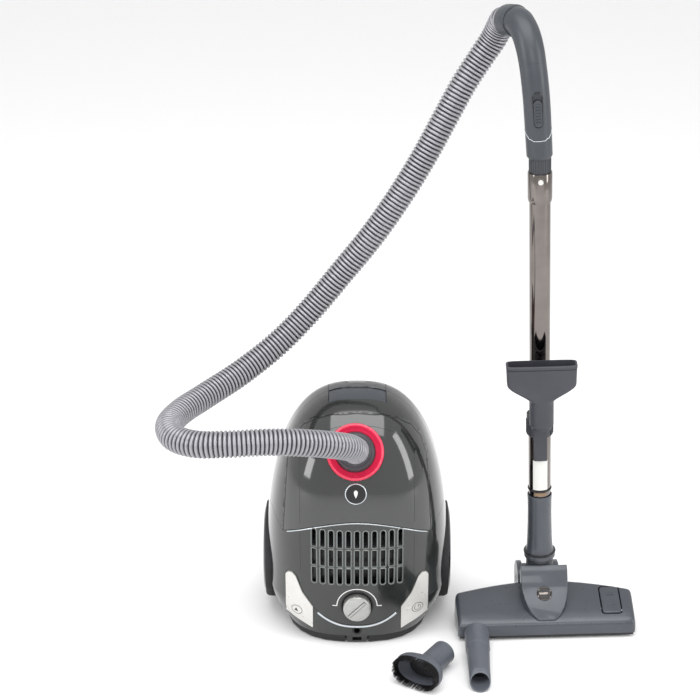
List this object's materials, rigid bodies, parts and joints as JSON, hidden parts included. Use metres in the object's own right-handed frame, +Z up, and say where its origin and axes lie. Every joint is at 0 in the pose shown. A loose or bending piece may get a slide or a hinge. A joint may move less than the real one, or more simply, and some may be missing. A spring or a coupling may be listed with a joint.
{
  "type": "canister vacuum cleaner",
  "caption": "Canister vacuum cleaner parked upright on its tail, with hose, telescopic wand on its floor head, and loose cleaning tools; lid, wheels and controls move.",
  "frame": {"origin": "on the floor, at the middle of the canister's standing base", "axes": "+Z up along the parked canister's nose, -Y towards the lid and the user, +X towards the wand"},
  "size_m": [0.7213, 0.3746, 0.9648],
  "materials": {
    "casing_gloss": "glossy",
    "panel_gloss": "glossy",
    "navy_gloss": "glossy",
    "black_plastic": "matte",
    "rubber": "matte",
    "red_plastic": "satin",
    "purple_grey": "satin",
    "hose_silver": "satin",
    "light_silver": "satin",
    "chrome": "polished",
    "grip_grey": "satin",
    "dark_plastic": "satin",
    "charcoal": "matte",
    "head_grey": "satin",
    "tool_grey": "satin",
    "bristle": "matte",
    "bag_fleece": "matte",
    "filter_fleece": "matte"
  },
  "bodies": {
    "canister": {"base_shell": "navy_gloss", "tail_cover": "casing_gloss", "tail_base": "black_plastic", "bumper": "casing_gloss", "cord_outlet": "black_plastic", "partition": "dark_plastic", "motor_filter": "filter_fleece", "motor_housing": "dark_plastic", "exhaust_filter": "filter_fleece", "knob_bezel": "black_plastic", "control_board": "charcoal", "power_switch": "black_plastic", "reel_bracket": "dark_plastic", "dust_bag": "bag_fleece", "bag_collar": "bag_fleece", "carry_handle": "navy_gloss", "hose": "hose_silver", "head_shell": "head_grey", "head_cover": "head_grey", "head_sole": "black_plastic"},
    "lid": {"lid_frame": "casing_gloss", "lid_panel": "panel_gloss", "inlet_ring": "red_plastic", "inlet_socket": "purple_grey", "inlet_seal": "rubber", "emblem": "black_plastic"},
    "latch": {"lid_latch": "grip_grey"},
    "connector": {"hose_connector": "purple_grey"},
    "fan": {"fan_impeller": "light_silver"},
    "reel": {"cord_drum": "dark_plastic"},
    "knob": {"power_knob": "light_silver"},
    "rewind": {"rewind_pedal": "light_silver", "rewind_brake_arm": "dark_plastic"},
    "switch_pedal": {"power_pedal": "light_silver"},
    "left_wheel": {"wheel_left": "navy_gloss", "tyre_left": "rubber"},
    "right_wheel": {"wheel_right": "navy_gloss", "tyre_right": "rubber"},
    "castor": {"castor_fork": "dark_plastic"},
    "castor_roller": {"castor_wheel": "rubber"},
    "elbow": {"head_elbow": "dark_plastic"},
    "lower_wand": {"head_neck": "head_grey", "lower_tube": "chrome", "tube_lock": "charcoal", "tool_clip": "charcoal"},
    "key": {"lock_key": "charcoal"},
    "upper_wand": {"upper_tube": "chrome", "wand_bell": "dark_plastic", "grip": "grip_grey"},
    "button": {"snap_button": "light_silver"},
    "slider": {"air_slider": "dark_plastic"},
    "cuff": {"hose_cuff": "grip_grey"},
    "nozzle": {"upholstery_nozzle": "charcoal"},
    "rocker": {"foot_rocker": "head_grey"},
    "brush": {"brush_strip": "bristle"},
    "left_roller": {"head_roller_left": "rubber"},
    "right_roller": {"head_roller_right": "rubber"},
    "crevice": {"crevice_tool": "tool_grey"},
    "dusting": {"dusting_brush": "tool_grey", "brush_bristles": "bristle"}
  },
  "joints": [
    {"name": "lid_open", "type": "hinge", "parent": "canister", "child": "lid", "pos_m": [0, -0.119, 0.215], "axis": [1, 0, 0], "range_deg": [0, 60], "deforming": ["hose"]},
    {"name": "latch_press", "type": "hinge", "parent": "lid", "child": "latch", "pos_m": [0, -0.0218, 0.3765], "axis": [-1, 0, 0], "range_deg": [0, 3], "stiffness_Nm_per_rad": 0.6, "springref_deg": -2.86},
    {"name": "inlet_swivel", "type": "hinge", "parent": "lid", "child": "connector", "pos_m": [-0.003, -0.088, 0.321], "axis": [0, -0.8713, 0.4907], "continuous": true},
    {"name": "fan_spin", "type": "hinge", "parent": "canister", "child": "fan", "pos_m": [0, 0.01, 0.13], "axis": [0, 0, 1], "continuous": true},
    {"name": "reel_spin", "type": "hinge", "parent": "canister", "child": "reel", "pos_m": [0, 0.01, 0.045], "axis": [0, 0, 1], "continuous": true},
    {"name": "knob_turn", "type": "hinge", "parent": "canister", "child": "knob", "pos_m": [0, -0.112, 0.071], "axis": [0, 1, 0], "range_deg": [-135, 45]},
    {"name": "rewind_press", "type": "slide", "parent": "canister", "child": "rewind", "axis": [0, 1, 0], "range_m": [0, 0.005], "stiffness_N_per_m": 900, "springref_m": -0.001},
    {"name": "power_press", "type": "slide", "parent": "canister", "child": "switch_pedal", "axis": [0, 1, 0], "range_m": [0, 0.005], "stiffness_N_per_m": 900, "springref_m": -0.001},
    {"name": "left_wheel_roll", "type": "hinge", "parent": "canister", "child": "left_wheel", "pos_m": [-0.134, 0.038, 0.09], "axis": [1, 0, 0], "continuous": true},
    {"name": "right_wheel_roll", "type": "hinge", "parent": "canister", "child": "right_wheel", "pos_m": [0.134, 0.038, 0.09], "axis": [1, 0, 0], "continuous": true},
    {"name": "castor_swivel", "type": "hinge", "parent": "canister", "child": "castor", "pos_m": [0, 0.088, 0.305], "axis": [0, 1, 0], "continuous": true},
    {"name": "castor_roll", "type": "hinge", "parent": "castor", "child": "castor_roller", "pos_m": [0, 0.103, 0.3], "axis": [1, 0, 0], "continuous": true},
    {"name": "head_tilt", "type": "hinge", "parent": "canister", "child": "elbow", "pos_m": [0.28192, 0.01366, 0.05], "axis": [-0.9986, -0.0523, 0], "range_deg": [0, 60], "deforming": ["hose"]},
    {"name": "neck_swivel", "type": "hinge", "parent": "elbow", "child": "lower_wand", "pos_m": [0.285, -0.002, 0.06], "axis": [-0.0314, 0, 0.9995], "range_deg": [-90, 90], "deforming": ["hose"]},
    {"name": "lock_key_slide", "type": "slide", "parent": "lower_wand", "child": "key", "axis": [0.0314, 0, -0.9995], "range_m": [0, 0.006], "stiffness_N_per_m": 300, "springref_m": -0.002},
    {"name": "telescope", "type": "slide", "parent": "lower_wand", "child": "upper_wand", "axis": [-0.0314, 0, 0.9995], "range_m": [0, 0.12], "deforming": ["hose"]},
    {"name": "snap_press", "type": "slide", "parent": "upper_wand", "child": "button", "axis": [0, 1, 0], "range_m": [0, 0.002], "stiffness_N_per_m": 400, "springref_m": -0.001},
    {"name": "air_slide", "type": "slide", "parent": "upper_wand", "child": "slider", "axis": [-0.0785, 0, 0.9969], "range_m": [0, 0.01]},
    {"name": "cuff_swivel", "type": "hinge", "parent": "upper_wand", "child": "cuff", "pos_m": [0.22647, 0.05015, 0.94221], "axis": [-0.4108, 0.8833, -0.226], "continuous": true},
    {"name": "nozzle_lift", "type": "slide", "parent": "lower_wand", "child": "nozzle", "axis": [-0.0314, 0, 0.9995], "range_m": [0, 0.06]},
    {"name": "rocker_tip", "type": "hinge", "parent": "canister", "child": "rocker", "pos_m": [0.39207, -0.04366, 0.04], "axis": [0.9986, 0.0523, 0], "range_deg": [0, 8]},
    {"name": "brush_lift", "type": "slide", "parent": "canister", "child": "brush", "axis": [0, 0, 1], "range_m": [0, 0.0046]},
    {"name": "left_roller_roll", "type": "hinge", "parent": "canister", "child": "left_roller", "pos_m": [0.20507, -0.02942, 0.01], "axis": [0.9986, 0.0523, 0], "continuous": true},
    {"name": "right_roller_roll", "type": "hinge", "parent": "canister", "child": "right_roller", "pos_m": [0.37284, -0.02063, 0.01], "axis": [0.9986, 0.0523, 0], "continuous": true},
    {"name": "crevice_lift", "type": "slide", "parent": "canister", "child": "crevice", "axis": [0, 0, 1], "range_m": [0, 0.15]},
    {"name": "dusting_lift", "type": "slide", "parent": "canister", "child": "dusting", "axis": [0, 0, 1], "range_m": [0, 0.15]}
  ],
  "couplings": [
    {"joint": "brush_lift", "follows": "rocker_tip", "m_per_rad": 0.0322}
  ]
}
